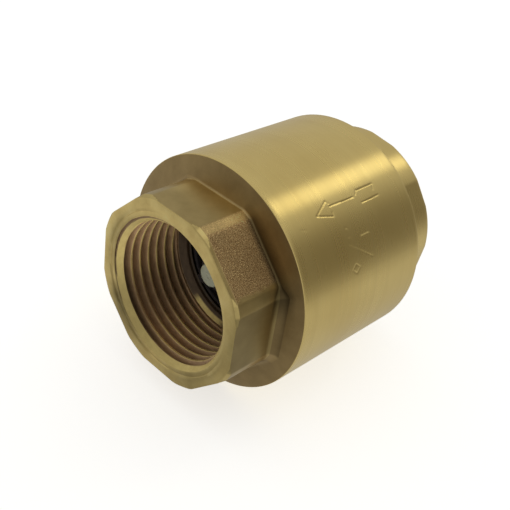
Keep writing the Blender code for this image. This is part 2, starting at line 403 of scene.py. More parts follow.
BRASS_SLOTS = [turned_brass(), faced_brass(), boss_brass(), flange_brass(), thread_brass()]
ON_DRUM, ON_FACE, ON_BOSS, ON_FLANGE, ON_THREAD = range(len(BRASS_SLOTS))
BLACK_NYLON = black_nylon()
RUBBER = nitrile_rubber()
WHITE_ACETAL = white_acetal()
STAINLESS = stainless()

# ------------ mesh helpers


def quad(row, after, column, columns):
    """The face between two rows of points, at a column and the next one round."""
    right = (column + 1) % columns
    return (
        row * columns + column,
        row * columns + right,
        after * columns + right,
        after * columns + column,
    )


def placed(name, mesh, sharp_degrees, weld=0.0):
    """Puts a mesh in the scene, smooth but for its sharp edges, with every face turned outward."""
    shape = bmesh.new()
    shape.from_mesh(mesh)
    if weld:
        bmesh.ops.remove_doubles(shape, verts=shape.verts, dist=weld)
    bmesh.ops.recalc_face_normals(shape, faces=shape.faces)
    shape.to_mesh(mesh)
    shape.free()
    mesh.shade_smooth()
    mesh.set_sharp_from_angle(angle=math.radians(sharp_degrees))
    made = bpy.data.objects.new(name, mesh)
    bpy.context.scene.collection.objects.link(made)
    return made


# ------------ turned surfaces, ring by ring


class Rings:
    """A closed turned shell: rings of points round the bore, each with its own finish.

    Every ring holds the station and radius at each column angle. zipped rings follow a helix,
    so the strip across the seam is laced by station instead of ring to ring.
    """

    def __init__(self, angles):
        self.angles = np.asarray(angles, float)
        self.stations = []
        self.radii = []
        self.finish = []
        self.grain = []
        self.crest = []
        self.tone = []
        self.zipped = []

    def add(self, station, radius, finish, grain=0.0, crest=0.0, tone=1.0, zipped=False):
        ones = np.ones(len(self.angles))
        self.stations.append(ones * station)
        self.radii.append(ones * radius)
        self.grain.append(ones * grain)
        self.crest.append(ones * crest)
        self.tone.append(ones * tone)
        self.finish.append((ones * finish).astype(int))
        self.zipped.append(zipped)

    def run(self, points, finish, **extra):
        for station, radius in points:
            self.add(station, radius, finish, **extra)

    def corner(self, station, radius, inset, drop, degrees, finish):
        """Rings round an edge: drop off the radius at 0 degrees, inset along the bore at 90."""
        for degree in degrees:
            turn = math.radians(degree)
            along, across = inset * (1 - math.cos(turn)), drop * (1 - math.sin(turn))
            self.add(station + along, radius + across, finish)

    def build(self, name, slots):
        stations, radii = np.array(self.stations), np.array(self.radii)
        rows, columns = stations.shape
        turn = np.radians(self.angles)
        co = np.stack([stations, radii * np.cos(turn), radii * np.sin(turn)], -1).reshape(-1, 3)
        faces, finishes = [], []
        for row in range(rows):
            after = (row + 1) % rows
            seam = self.zipped[row] and self.zipped[after]
            for column in range(columns - 1 if seam else columns):
                faces.append(quad(row, after, column, columns))
                finishes.append(self.finish[row][column])
        self.lace(stations, faces, finishes, columns)
        mesh = bpy.data.meshes.new(name)
        mesh.from_pydata([tuple(point) for point in m(co)], [], faces)
        for slot in slots:
            mesh.materials.append(slot)
        mesh.polygons.foreach_set("material_index", finishes)
        for label, values in (("grain", self.grain), ("crest", self.crest), ("tone", self.tone)):
            layer = mesh.attributes.new(label, "FLOAT", "POINT")
            layer.data.foreach_set("value", np.array(values, np.float32).ravel())
        return placed(name, mesh, 38)

    def lace(self, stations, faces, finishes, columns):
        """Triangles across the seam of each zipped stretch, always stepping to the nearer point."""
        zipped = [i for i, z in enumerate(self.zipped) if z]
        if not zipped:
            return
        first, last = zipped[0], zipped[-1]
        way = 1 if stations[last, 0] > stations[first, 0] else -1
        left, right = first, first
        while left < last or right < last:
            step_left = right == last or (
                left < last and way * stations[left + 1, -1] < way * stations[right + 1, 0]
            )
            a, b = left * columns + columns - 1, right * columns
            if step_left:
                faces.append((a, b, a + columns))
                finishes.append(self.finish[left][-1])
                left += 1
            else:
                faces.append((a, b, b + columns))
                finishes.append(self.finish[right][0])
                right += 1


COARSE_COLUMNS = 2.4
EDGE_COLUMNS = (-0.9, -0.3, 0.3, 0.9)
CLOSEST_COLUMNS = 0.2


def column_angles(edges, fine):
    """Column angles round the bore: coarse all round, finer in the given spans and at edges."""
    found = list(np.arange(0, 360, COARSE_COLUMNS))
    for start, end, step in fine:
        found = [a for a in found if not start <= a <= end]
        found += list(np.arange(start, end + step / 2, step))
    for edge in edges:
        found += [(edge + d) % 360 for d in EDGE_COLUMNS]
    found.sort()
    kept = [found[0]]
    for angle in found[1:]:
        if angle - kept[-1] > CLOSEST_COLUMNS:
            kept.append(angle)
    if kept[-1] > 360 - CLOSEST_COLUMNS:
        kept.pop()
    return np.array(kept)


def octagon(angles, apothem, corner_r, turn, soft=0.04):
    """Radius at each angle of eight flats whose corners are turned to a circle, softly."""
    across = np.radians((angles - turn + 22.5) % 45 - 22.5)
    flat_r = apothem / np.cos(across)
    blend = np.exp((apothem - flat_r) / soft) + math.exp((apothem - corner_r) / soft)
    return apothem - soft * np.log(blend)


def flat_edges(apothem, corner_r, turn):
    """The angles at which the flats of such an octagon meet its turned corners."""
    half = math.degrees(math.acos(apothem / corner_r))
    return [turn + 45 * k + side * half for k in range(8) for side in (-1, 1)]


def around(table, angles):
    """A value that runs evenly round the bore between those given at a few angles."""
    return np.interp(angles, list(table), list(table.values()), period=360)


# Tones round the bore, by angle, partly the brass's own oxide and partly painted light and
# shade: of the thread, the painted highlights on its crests, the painted shade in its first
# groove, the painted shade on the fillets behind the flats, the mouth's cone, and the inner and
# outer edge of the face.
THREAD_TONE = {
    0: 1.2, 12: 1.5, 30: 1.5, 60: 1.3, 180: 1.0, 250: 1.1,
    275: 1.35, 295: 1.2, 315: 0.85, 335: 0.85, 350: 1.2,
}
CREST_HIGHLIGHT = {0: 1.0, 250: 1.0, 285: 0.75, 305: 0.15, 325: 0.15, 342: 0.9}
MOUTH_SHADE = {0: 0.45, 20: 0.1, 60: 0.0, 260: 0.0, 295: 0.5, 330: 0.6}
FILLET_SHADE = {0: 1.0, 108: 1.0, 116: 0.38, 150: 0.34, 163: 0.5, 176: 0.9}
CONE_TONE = {0: 1.0, 20: 1.0, 40: 0.8, 60: 0.95, 210: 0.95, 240: 0.9, 270: 0.8, 300: 0.65, 330: 0.65}
FACE_TONE = {
    0: 0.95, 20: 0.78, 40: 0.95, 60: 1.2, 120: 1.18, 150: 1.1, 180: 0.85,
    240: 0.66, 278: 1.1, 300: 0.74, 318: 0.46, 330: 0.52, 342: 1.1,
}
RIM_TONE = {
    0: 1.2, 40: 1.2, 90: 1.08, 120: 1.18, 150: 1.12, 180: 0.7,
    210: 0.98, 240: 0.72, 278: 1.15, 318: 0.65, 342: 1.25,
}
# How deep the step at the dish's edge is cut, as a share of its full depth.
DISH_EDGE = {60: 1.0, 85: 0.1, 190: 0.1, 215: 1.0}
# How much brighter and duller the wrench flats and their corners get towards the flange: painted
# light and shade.
REAR_LIFT = {
    72: 0.35, 106: 0.3, 113: 0.55, 119: 0.2, 135: 0.0,
    150: 0.0, 157: -0.35, 165: 0.0, 180: 0.35, 200: 0.3,
}

# ------------ threaded sockets

# How round the flanks are, how much narrower the grooves start, how far the mouth's cone runs
# below the crests, and how softly the cone and the crests' wear end.
FLANK_ROUNDING = 0.4
MOUTH_NARROWING = 5
CONE_OVERRUN = 0.1
CONE_BLEND = 0.06
CREST_EDGE = 0.08
# Depths in from the face: where the grooves widen, where the rows have taken up the helix, and
# where the first groove's painted shade and the mouth's painted shade end.
GROOVES_WIDEN = (0.35, 1.5)
HELIX_START = 1.75
FIRST_GROOVE = (2.0, 2.6)
MOUTH_SHADOW = (0.6, 1.3)
# Lengths back from the end: where the rows leave the helix, and where the grooves run out.
HELIX_END = 1.8
RUNOUT = (1.1, 0.2)
# Rows: even steps through the mouth, then at these offsets from the crest of each turn.
MOUTH_ROWS_END = 1.9
MOUTH_ROW = 0.1
THREAD_ROWS = (-PITCH / 2, -0.74, -0.55, -0.36, -0.2, -0.11, 0.11, 0.2, 0.36, 0.55, 0.74)
THREAD_TURNS = 8


def thread_surface(depth, climb, length):
    """Radius, crest share and share of the mouth's cone inside a threaded socket, at each column.

    depth is how far in from the face, climb how far the helix has risen at that column.
    """
    off_crest = np.abs(((depth - climb - THREAD_OFFSET) / PITCH + 0.5) % 1 - 0.5) * PITCH
    rise = np.clip((off_crest - CREST_HALF) / FLANK, 0, 1)
    rounded_rise = 0.5 - 0.5 * np.cos(np.pi * rise)
    shape = (1 - FLANK_ROUNDING) * rise + FLANK_ROUNDING * rounded_rise
    shape = shape ** (1 + MOUTH_NARROWING * (1 - smooth(*GROOVES_WIDEN, depth)))
    runout = smooth(length - RUNOUT[0], length - RUNOUT[1], depth)
    thread = THREAD_MINOR + THREAD_DEPTH * shape * (1 - runout) + UNDERCUT * runout
    slope = (MOUTH_R - THREAD_MINOR + CONE_OVERRUN) / (MOUTH_DEPTH - DISH_DEPTH)
    cone = MOUTH_R - (depth - DISH_DEPTH) * slope
    on_cone = smooth(-CONE_BLEND, CONE_BLEND, cone - thread)
    crest = np.maximum(1 - smooth(0.0, CREST_EDGE, shape + runout), on_cone)
    return np.maximum(thread, cone), crest, on_cone


def thread_depths(length):
    """Depths of the socket's rows: even through the mouth, then gathered at each crest."""
    depths = [DISH_DEPTH] + list(np.arange(DISH_DEPTH + 0.03, MOUTH_ROWS_END, MOUTH_ROW))
    for k in range(1, THREAD_TURNS + 1):
        near = [THREAD_OFFSET + k * PITCH + offset for offset in THREAD_ROWS]
        depths += [depth for depth in near if MOUTH_ROWS_END < depth < length - 0.05]
    return depths + [length]


def add_thread(rings, face, inward, length):
    """The socket's right-hand thread, its rows sheared along the helix. inward is +1 or -1."""
    turn = rings.angles / 360
    # Tones by angle, partly painted light and shade: of the thread, the crests' painted highlights, the
    # first groove's painted shade and the mouth's cone.
    lit_share, tarnish_and_shade = around(CREST_HIGHLIGHT, rings.angles), around(THREAD_TONE, rings.angles)
    shade, cone_tone = around(MOUTH_SHADE, rings.angles), around(CONE_TONE, rings.angles)
    for depth in thread_depths(length):
        shear = smooth(DISH_DEPTH, HELIX_START, depth) * (1 - smooth(length - HELIX_END, length, depth))
        station = face + inward * depth + PITCH * shear * (turn - 0.5)
        depth_in = inward * (station - face)
        climb = inward * PITCH * turn - PITCH / 2
        radius, crest, on_cone = thread_surface(depth_in, climb, length)
        crest = crest * (on_cone + (1 - on_cone) * lit_share)
        first_groove = (1 - smooth(*FIRST_GROOVE, depth_in)) * shade
        tone = tarnish_and_shade * (1 - first_groove) * (0.5 + 0.5 * smooth(*MOUTH_SHADOW, depth_in))
        tone = tone * (1 - on_cone) + cone_tone * on_cone
        rings.add(station, radius, ON_THREAD, crest=crest, tone=tone, zipped=True)


def add_socket(rings, face, inward, length):
    """Hangs a threaded socket on the end of a shell's rings, from its shoulder out to the face."""
    socket = Rings(rings.angles)
    add_thread(socket, face, inward, length)
    for i in reversed(range(1, len(socket.stations))):
        crest, tone = socket.crest[i], socket.tone[i]
        rings.add(socket.stations[i], socket.radii[i], ON_THREAD, crest=crest, tone=tone, zipped=True)


# ------------ marks struck on the drum

MARK_DEPTH = 0.07
MARK_HALF_WIDTH = 0.11
MARK_REACH = 0.6
LIP_HEIGHT = 0.015
LIP_WIDTH = 0.1
ARROW_AT = 129.5
# Each stroke runs between two points (station, arc length round the drum from ARROW_AT).
ARROW = [
    ((-6.6, 0.1), (-3.4, -1.6)),
    ((-3.4, -1.6), (-3.0, -1.0)),
    ((-6.6, 0.1), (-3.2, 1.15)),
    ((-3.2, 1.15), (-3.1, 0.4)),
    ((-3.1, -0.6), (2.7, -0.45)),
    ((3.9, -1.3), (8.2, -1.3)),
    ((8.2, -1.3), (7.7, -0.3)),
    ((3.9, -1.3), (3.4, -0.6)),
    ((3.9, 0.95), (8.3, 0.85)),
]
# Plain strokes, a diamond and two dots, which spell nothing.
PLAIN_MARKS = [
    ((0.9, 5.7), (3.2, 5.7)),
    ((-2.1, 6.4), (2.9, 9.8)),
    ((-2.3, 10.5), (-1.4, 9.7)),
    ((-1.4, 9.7), (-0.5, 10.5)),
    ((-0.5, 10.5), (-1.4, 11.3)),
    ((-1.4, 11.3), (-2.3, 10.5)),
    ((-1.9, 3.5), (-1.6, 3.7)),
    ((-1.9, 5.1), (-1.6, 5.2)),
]
SCRATCH = [((-11.0, 1.0), (-9.6, 1.45))]


def groove(distance):
    """Depth of a struck line: a round-bottomed groove with a faint raised lip."""
    cut = 1 - smooth(0, MARK_HALF_WIDTH * 1.5, distance)
    lip = np.exp(-(((distance - MARK_HALF_WIDTH * 2.2) / LIP_WIDTH) ** 2))
    return MARK_DEPTH * cut - LIP_HEIGHT * lip


def mark_relief(station, angles):
    """How far the marks sink the drum's surface at one station, for each column."""
    arc = np.radians(angles - ARROW_AT) * DRUM_R
    depth = np.zeros(len(angles))
    for strokes, share in ((ARROW, 1.0), (PLAIN_MARKS, 0.8), (SCRATCH, 0.3)):
        for (x0, s0), (x1, s1) in strokes:
            dx, ds = x1 - x0, s1 - s0
            t = np.clip(((station - x0) * dx + (arc - s0) * ds) / (dx * dx + ds * ds), 0, 1)
            distance = np.hypot(station - x0 - t * dx, arc - s0 - t * ds)
            struck = np.maximum(depth, share * groove(distance))
            depth = np.where(distance < MARK_REACH, struck, depth)
    return depth


# ------------ valve body

# The rough skin: the middles of its flats, the angles off them where it starts, gets stronger
# and ends, how ragged its edge is, the stations over which it fades out, its height and rows.
GRAINY_FLATS = (135, 315)
GRAIN_START = (-27.5, -25.5)
GRAIN_STRONGER = (-21.0, -19.5)
GRAIN_END = (15.0, 18.5)
GRAIN_RAGGED = 1.6
GRAIN_FADE = (-15.9, -15.0)
SKIN_RELIEF = 0.035
SKIN_ROW = 0.15
# The fillets: where they may start, their steps, and how many of those keep the flats' finish
# and some of their grain.
FILLETS_FROM = FLANGE_BASE - 2.2
FILLET_STEPS = 8
BOSS_STEPS = 3
GRAINY_STEPS = 6
# Fillet radius and tone of each flat, by its middle; the tone is partly the forging's own oxide
# and partly painted shade.
FILLET = {0: 1.2, 45: 0.8, 90: 0.35, 135: 0.4, 180: 1.8, 225: 1.4, 270: 0.6, 315: 1.3}
FLAT_TONE = {0: 0.9, 45: 0.8, 90: 0.86, 135: 1.0, 180: 0.52, 225: 0.72, 270: 0.85, 315: 1.0}
FLAT_BLEND = (0.42, 0.58)
# The turned bands between the flats: their half width and tone, and the start, end and tone of
# the one that gets a painted highlight. LIFT_SPAN is where the tones change towards the flange.
CORNER_BAND = (2.6, 4.2)
BAND_TONE = 0.85
HIGHLIGHT_BAND = (100, 125, 1.2)
LIFT_SPAN = (-21.5, -17)
# How far the face stops short of the flats, and how steeply its corners are chamfered.
FACE_BEVEL = 0.08
FACE_CHAMFER = 0.9

# Rows along the drum as (start, end, step): they are closest over the scratch and the marks.
DRUM_ROWS = (
    (DRUM_START + 0.8, -11.3, 0.8),
    (-11.3, -9.3, 0.2),
    (-9.2, -7.2, 0.5),
    (-7.2, 8.8, 0.14),
    (8.8, DRUM_END - 0.6, 1.0),
)
# Columns round the body as (start, end, step), closest over the marks.
BODY_COLUMNS = [(105, 122, 0.6), (122, 163, 0.36)]

# Painted shade of the web's bore and of the cone behind the thread, and the arc of the cone that
# gets a painted highlight.
BORE_SHADE = 0.14
CONE_SHADE = 0.24
CONE_LIT = 0.66
LIT_FROM = (262, 272)
LIT_TO = (298, 306)


def by_flat(table, angles):
    """A value per flat, held across each flat and blended over the corner bands between them."""
    place = angles / 45
    index = np.floor(place).astype(int)
    share = smooth(*FLAT_BLEND, place - index)
    low = np.array([table[45 * (i % 8)] for i in index])
    high = np.array([table[45 * ((i + 1) % 8)] for i in index])
    return low + share * (high - low)


def grain_mask(station, angles):
    """Where the forging's skin was left rough: two flats, and faintly the band beside each."""
    mask = np.zeros(len(angles))
    for middle in GRAINY_FLATS:
        off = (angles - middle + 180) % 360 - 180
        wander = [noise.noise(Vector((station * 0.8, a * 0.22, middle))) for a in angles]
        ragged = GRAIN_RAGGED * np.array(wander)
        inside = smooth(*GRAIN_START, off + ragged * 0.3) * (1 - smooth(*GRAIN_END, off + ragged))
        inside = inside * (0.45 + 0.55 * smooth(*GRAIN_STRONGER, off))
        mask = np.maximum(mask, inside)
    front = smooth(OUTLET_FACE + 0.3, OUTLET_FACE + 0.6, station)
    return mask * front * (1 - smooth(*GRAIN_FADE, station))


def grain_relief(station, angles, radius):
    """Lumps of two sizes in the rough skin, about -1 to 1."""
    relief = np.zeros(len(angles))
    for i, (angle, r) in enumerate(zip(angles, radius)):
        a = math.radians(angle)
        point = Vector((station, r * math.cos(a), r * math.sin(a)))
        relief[i] = noise.noise(point * 2.9) * 0.4 + noise.noise(point * 7.0) * 0.6
    return relief


def add_skin(rings, station, middle, outline, tone):
    """A ring of the wrench flats, rough where the skin was left; middle is its mean station."""
    mask = grain_mask(middle, rings.angles)
    relief = grain_relief(middle, rings.angles, outline) * mask
    rings.add(station, outline + SKIN_RELIEF * relief, ON_BOSS, grain=mask, tone=tone)


def boss_tone(angles):
    """Tone of each flat, and of the turned bands between them, one of which has a painted highlight."""
    band = 1 - smooth(*CORNER_BAND, np.abs(angles % 45 - 22.5))
    start, end, bright = HIGHLIGHT_BAND
    lit = np.where((angles > start) & (angles < end), bright, BAND_TONE)
    return by_flat(FLAT_TONE, angles) * (1 - band) + band * lit


def add_outlet_boss(rings):
    """The dished end face, its chamfered corners and the flats as far as their fillets."""
    angles = rings.angles
    outline = octagon(angles, OUTLET_APOTHEM, OUTLET_CORNER_R, 0)
    # The face's tones, the flats' tones and their rear lift are partly painted light and shade.
    tone, lift = boss_tone(angles), around(REAR_LIFT, angles)
    inner_tone, outer_tone = around(FACE_TONE, angles), around(RIM_TONE, angles)
    edge_cut = around(DISH_EDGE, angles)
    dish = (
        (DISH_DEPTH, MOUTH_R),
        (DISH_DEPTH - 0.02, MOUTH_R + 0.08),
        (0.08 * edge_cut, DISH_R - 0.06),
        (0.12 * edge_cut, DISH_R),
    )
    for depth, radius in dish:
        rings.add(OUTLET_FACE + depth, radius, ON_FACE, crest=1.0, tone=inner_tone)
    edge = np.minimum(outline, FACE_CORNER_R) - FACE_BEVEL
    for share in (0.08, 0.3, 0.55, 0.8, 1):
        face_tone = inner_tone + smooth(0.2, 0.75, share) * (outer_tone - inner_tone)
        rings.add(OUTLET_FACE, DISH_R + share * (edge - DISH_R), ON_FACE, tone=face_tone)
    for depth in (0.04, 0.1, 0.25, 0.4, 0.55):
        limit = FACE_CORNER_R + FACE_CHAMFER * depth
        finish = np.where(outline > limit, ON_FACE, ON_BOSS)
        rings.add(OUTLET_FACE + depth, np.minimum(outline, limit), finish, tone=tone)
    station = OUTLET_FACE + 0.68
    while station < FILLETS_FROM:
        add_skin(rings, station, station, outline, tone * (1 + lift * smooth(*LIFT_SPAN, station)))
        station += SKIN_ROW
    return outline, tone * (1 + lift)


def add_flange(rings, outline, tone):
    """Fillets from the flats up to the flange's shallow cone, then the drum's rim.

    The fillet's radius differs from flat to flat, as it does where a forging is machined.
    """
    slope = math.atan2(DRUM_START - FLANGE_BASE, DRUM_R - OUTLET_APOTHEM)
    fillet = by_flat(FILLET, rings.angles)
    sweep = math.pi / 2 - slope
    start = FLANGE_BASE - fillet * math.sin(sweep) + fillet * (1 - math.cos(sweep)) * math.tan(slope)
    for share in (0.0, 0.5):
        station = FILLETS_FROM + share * (start - FILLETS_FROM)
        add_skin(rings, station, float(np.mean(station)), outline, tone)
    shade = around(FILLET_SHADE, rings.angles)
    last_skin = grain_mask(FLANGE_BASE - 1.2, rings.angles)
    for step in range(FILLET_STEPS + 1):
        turn = sweep * step / FILLET_STEPS
        radius = outline + fillet * (1 - math.cos(turn))
        finish = ON_BOSS if step < BOSS_STEPS else ON_FLANGE
        grain = last_skin * max(0, 1 - step / GRAINY_STEPS)
        rings.add(start + fillet * math.sin(turn), radius, finish, grain=grain, tone=tone * shade)
    low_x, low_r = rings.stations[-1], rings.radii[-1]
    for share in (0.03, 0.25, 0.5, 0.75, 1):
        station = low_x + share * (DRUM_START - low_x)
        radius = low_r + share * (DRUM_R - EDGE_BREAK - low_r)
        rings.add(station, radius, ON_FLANGE, tone=shade + smooth(0, 0.6, share) * (1 - shade))
    rings.corner(DRUM_START, DRUM_R, EDGE_BREAK, -EDGE_BREAK, (30, 60, 90), ON_DRUM)


def add_drum(rings):
    for start, end, step in DRUM_ROWS:
        for station in np.arange(start, end, step):
            rings.add(station, DRUM_R - mark_relief(station, rings.angles), ON_DRUM)
    rings.corner(DRUM_END, DRUM_R, -EDGE_BREAK, -EDGE_BREAK, (90, 60, 30, 0), ON_DRUM)


def add_shoulder(rings):
    """Web bore and cone behind the outlet's thread, painted shade with a painted highlight on an arc.
    """
    cone_r = THREAD_MINOR + UNDERCUT - SHOULDER_CONE
    web = [
        (SHOULDER + 0.25, WEB_BORE_R),
        (SHOULDER, WEB_BORE_R + 0.25),
        (SHOULDER, cone_r - 0.06),
    ]
    rings.run(web, ON_THREAD, tone=BORE_SHADE)
    lit_arc = smooth(*LIT_FROM, rings.angles) * (1 - smooth(*LIT_TO, rings.angles))
    # Over that arc the cone takes the crests' bright colour and a higher tone: a painted highlight.
    for share, lit_share in ((0.05, 0), (0.35, 0), (0.5, 1), (0.95, 1)):
        step = share * SHOULDER_CONE
        bright = lit_share * lit_arc
        tone = CONE_SHADE + CONE_LIT * bright
        rings.add(SHOULDER - step, cone_r + step, ON_THREAD, crest=bright, tone=tone)


def valve_body():
    edges = flat_edges(OUTLET_APOTHEM, OUTLET_CORNER_R, 0)
    rings = Rings(column_angles(edges, BODY_COLUMNS))
    outline, tone = add_outlet_boss(rings)
    add_flange(rings, outline, tone)
    add_drum(rings)
    rings.run([(DRUM_END, DRUM_R - 1.2), (DRUM_END, SOCKET_R + 0.3)], ON_FACE)
    chamber = [
        (DRUM_END - 0.3, SOCKET_R),
        (GASKET_STEP, SOCKET_R),
        (GASKET_STEP, CHAMBER_R),
        (WEB_INNER, CHAMBER_R),
        (WEB_INNER, WEB_BORE_R),
    ]
    rings.run(chamber, ON_FLANGE)
    add_shoulder(rings)
    add_socket(rings, OUTLET_FACE, 1, SHOULDER - SHOULDER_CONE - OUTLET_FACE)
    return rings.build("valve_body_brass", BRASS_SLOTS)


# ------------ inlet cap

CAP_EDGE = 0.3
CAP_FILLET = 0.2
CAP_ROW = 0.8


def inlet_cap():
    edges = flat_edges(INLET_APOTHEM, INLET_CORNER_R, INLET_TURN)
    rings = Rings(column_angles(edges, []))
    outline = octagon(rings.angles, INLET_APOTHEM, INLET_CORNER_R, INLET_TURN, 0.02)
    rings.add(INLET_FACE - DISH_DEPTH, MOUTH_R, ON_FACE, crest=1.0)
    for share in (0, 0.5, 1):
        rings.add(INLET_FACE, DISH_R + share * (outline - CAP_EDGE - DISH_R), ON_FACE)
    rings.corner(INLET_FACE, outline, -CAP_EDGE, -CAP_EDGE, (30, 60, 90), ON_DRUM)
    for station in np.arange(INLET_FACE - 0.9, CAP_SHOULDER + 0.5, -CAP_ROW):
        rings.add(station, outline, ON_DRUM)
    rings.corner(CAP_SHOULDER, outline, CAP_FILLET, CAP_FILLET, (90, 60, 30, 0), ON_DRUM)
    nose_and_seat = [
        (CAP_SHOULDER, SOCKET_R - 0.5),
        (CAP_SHOULDER - 0.2, SOCKET_R - 0.3),
        (CAP_NOSE + 0.3, SOCKET_R - 0.3),
        (CAP_NOSE, SOCKET_R - 0.6),
        (CAP_NOSE, SEAT_LIP_R),
        (SEAT_TIP + 0.1, SEAT_LIP_R - 0.38),
        (SEAT_TIP, SEAT_LIP_R - 0.5),
        (SEAT_TIP, SEAT_BORE_R + 0.45),
        (SEAT_TIP + 0.15, SEAT_BORE_R + 0.15),
        (SEAT_TIP + 0.45, SEAT_BORE_R),
        (INLET_SHOULDER - 0.3, SEAT_BORE_R),
        (INLET_SHOULDER, SEAT_BORE_R + 0.3),
        (INLET_SHOULDER, SEAT_BORE_R + 1.4),
    ]
    rings.run(nose_and_seat, ON_FACE)
    add_socket(rings, INLET_FACE, -1, INLET_FACE - INLET_SHOULDER)
    return rings.build("inlet_cap_brass", BRASS_SLOTS)


# ------------ plastic, rubber and wire pieces


def rounded(profile, radius, closed=True):
    """The profile with each corner turned to a small arc, kept under half of its shorter side."""
    made = []
    count = len(profile)
    for i in range(count):
        here = np.array(profile[i], float)
        if not closed and i in (0, count - 1):
            made.append(tuple(here))
            continue
        before = np.array(profile[i - 1], float) - here
        after = np.array(profile[(i + 1) % count], float) - here
        cut = min(radius, 0.45 * np.hypot(*before), 0.45 * np.hypot(*after))
        start = here + before / np.hypot(*before) * cut
        end = here + after / np.hypot(*after) * cut
        for t in (0, 0.25, 0.5, 0.75, 1):
            made.append(tuple((1 - t) ** 2 * start + 2 * t * (1 - t) * here + t * t * end))
    return made


class Solid:
    """Closed shapes gathered into one object."""

    def __init__(self):
        self.co = []
        self.faces = []

    def put(self, co, faces):
        base = len(self.co)
        self.co += [tuple(c) for c in co]
        self.faces += [tuple(base + i for i in face) for face in faces]

    def turn(self, profile, columns=96, closed=True):
        """A shape of revolution from (station, radius) points; an open profile ends on the axis."""
        count = len(profile)
        co = []
        for station, radius in profile:
            for column in range(columns):
                a = 2 * math.pi * column / columns
                co.append((station, radius * math.cos(a), radius * math.sin(a)))
        faces = []
        for row in range(count if closed else count - 1):
            after = (row + 1) % count
            faces += [quad(row, after, column, columns) for column in range(columns)]
        self.put(co, faces)

    def plate(self, outline, thickness, angle, bevel):
        """A plate standing on the axis at an angle: outline in (station, radius), bevelled edges."""
        points = np.array(outline, float)
        ahead = np.roll(points, -1, 0) - points
        ahead /= np.hypot(ahead[:, 0], ahead[:, 1])[:, None]
        back = np.roll(ahead, 1, 0)
        inward = np.stack([-(ahead + back)[:, 1], (ahead + back)[:, 0]], -1)
        inward /= np.hypot(inward[:, 0], inward[:, 1])[:, None]
        inner = points + inward * bevel
        half = thickness / 2
        layers = ((inner, -half), (points, bevel - half), (points, half - bevel), (inner, half))
        a = math.radians(angle)
        co = []
        for layer, across in layers:
            for station, radius in layer:
                y = radius * math.cos(a) - across * math.sin(a)
                z = radius * math.sin(a) + across * math.cos(a)
                co.append((station, y, z))
        n = len(points)
        faces = [tuple(range(n)), tuple(range(4 * n - 1, 3 * n - 1, -1))]
        for layer in range(3):
            for i in range(n):
                j = (i + 1) % n
                low, high = layer * n, (layer + 1) * n
                faces.append((low + i, low + j, high + j, high + i))
        self.put(co, faces)

    def make(self, name, finish):
        mesh = bpy.data.meshes.new(name)
        mesh.from_pydata([tuple(m(c) for c in point) for point in self.co], [], self.faces)
        mesh.materials.append(finish)
        return placed(name, mesh, 35, weld=1e-7)


# Columns of the widest turned pieces, and the usual radius of their corners.
WIDE_COLUMNS = 144
CORNER = 0.3


def stem_guide():
    """Ring on the chamber's web, skirt in the web's bore, and a hub on four dished arms."""
    ring_back, ring_front, tip = guide_high.x, WEB_INNER + 0.3, guide_low.x
    ring = [
        (ring_back, guide_high.y),
        (ring_front, guide_high.y),
        (ring_front, GUIDE_SKIRT_R),
        (SKIRT_TIP, GUIDE_SKIRT_R),
        (SKIRT_TIP, GUIDE_WINDOW_R),
        (ring_back, GUIDE_WINDOW_R),
    ]
    hub = [
        (ARM_INNER + 0.3, GUIDE_HUB_R),
        (tip, GUIDE_HUB_R),
        (tip, STEM_HOLE_R),
        (ARM_INNER + 0.3, STEM_HOLE_R),
    ]
    arm = [
        (ARM_INNER, STEM_HOLE_R + 0.9),
        (ARM_INNER, ARM_KNEE_R),
        (WEB_INNER - 0.3, GUIDE_WINDOW_R + 0.35),
        (SKIRT_TIP + 0.2, GUIDE_WINDOW_R + 0.35),
        (tip + 1.0, ARM_KNEE_R + 0.4),
        (tip + 1.0, STEM_HOLE_R + 0.9),
    ]
    solid = Solid()
    solid.turn(rounded(ring, CORNER), WIDE_COLUMNS)
    solid.turn(rounded(hub, 0.35))
    for k in range(4):
        solid.plate(rounded(arm, 0.35), ARM_WIDTH, 45 + 90 * k, 0.25)
    return solid.make("stem_guide_nylon", BLACK_NYLON)


def poppet_disc():
    """Disc with a rim round the seal and a spring hub behind it."""
    back, rim = disc_low.x, disc_high.y
    disc = [
        (RIM_BACK, rim),
        (DISC_BACK, rim),
        (DISC_BACK, DISC_HUB_R),
        (back, DISC_HUB_R - 0.3),
        (back, STEM_HOLE_R),
        (DISC_FRONT, STEM_HOLE_R),
        (DISC_FRONT, RIM_R),
        (RIM_BACK, RIM_R),
    ]
    solid = Solid()
    solid.turn(rounded(disc, CORNER), WIDE_COLUMNS)
    return solid.make("poppet_disc_nylon", BLACK_NYLON)


def poppet_stem():
    """Headed pin with a snap collar, a rounded tip and the moulding gate's dimple in it."""
    tip, head, wide = stem_low.x, stem_high.x, stem_high.y
    shoulder = disc_low.x - 0.3
    back_of_collar = shoulder - 0.6
    under_head = head - 1.2
    dimple = tip + 0.12
    pin = [
        (head, 0.0),
        (head, wide),
        (under_head, wide),
        (under_head, STEM_R),
        (shoulder, STEM_R),
        (shoulder, wide),
        (back_of_collar, STEM_R + 0.3),
        (back_of_collar, STEM_R),
        (tip, STEM_R),
        (tip, 0.55),
        (dimple, 0.45),
        (dimple, 0.0),
    ]
    solid = Solid()
    solid.turn(rounded(pin, 0.35, closed=False), 64, closed=False)
    return solid.make("poppet_stem_acetal", WHITE_ACETAL)


def washer(name, low, high, hole_r, corner):
    """A flat rubber ring that fills its box, round a hole."""
    profile = [(high.x, high.y), (low.x, high.y), (low.x, hole_r), (high.x, hole_r)]
    solid = Solid()
    solid.turn(rounded(profile, corner), WIDE_COLUMNS)
    return solid.make(name, RUBBER)


def seat_seal():
    return washer("seat_seal_rubber", seal_low, seal_high, SEAL_HOLE_R, 0.35)


def body_gasket():
    return washer("body_gasket_rubber", gasket_low, gasket_high, CHAMBER_R + 0.2, CORNER)


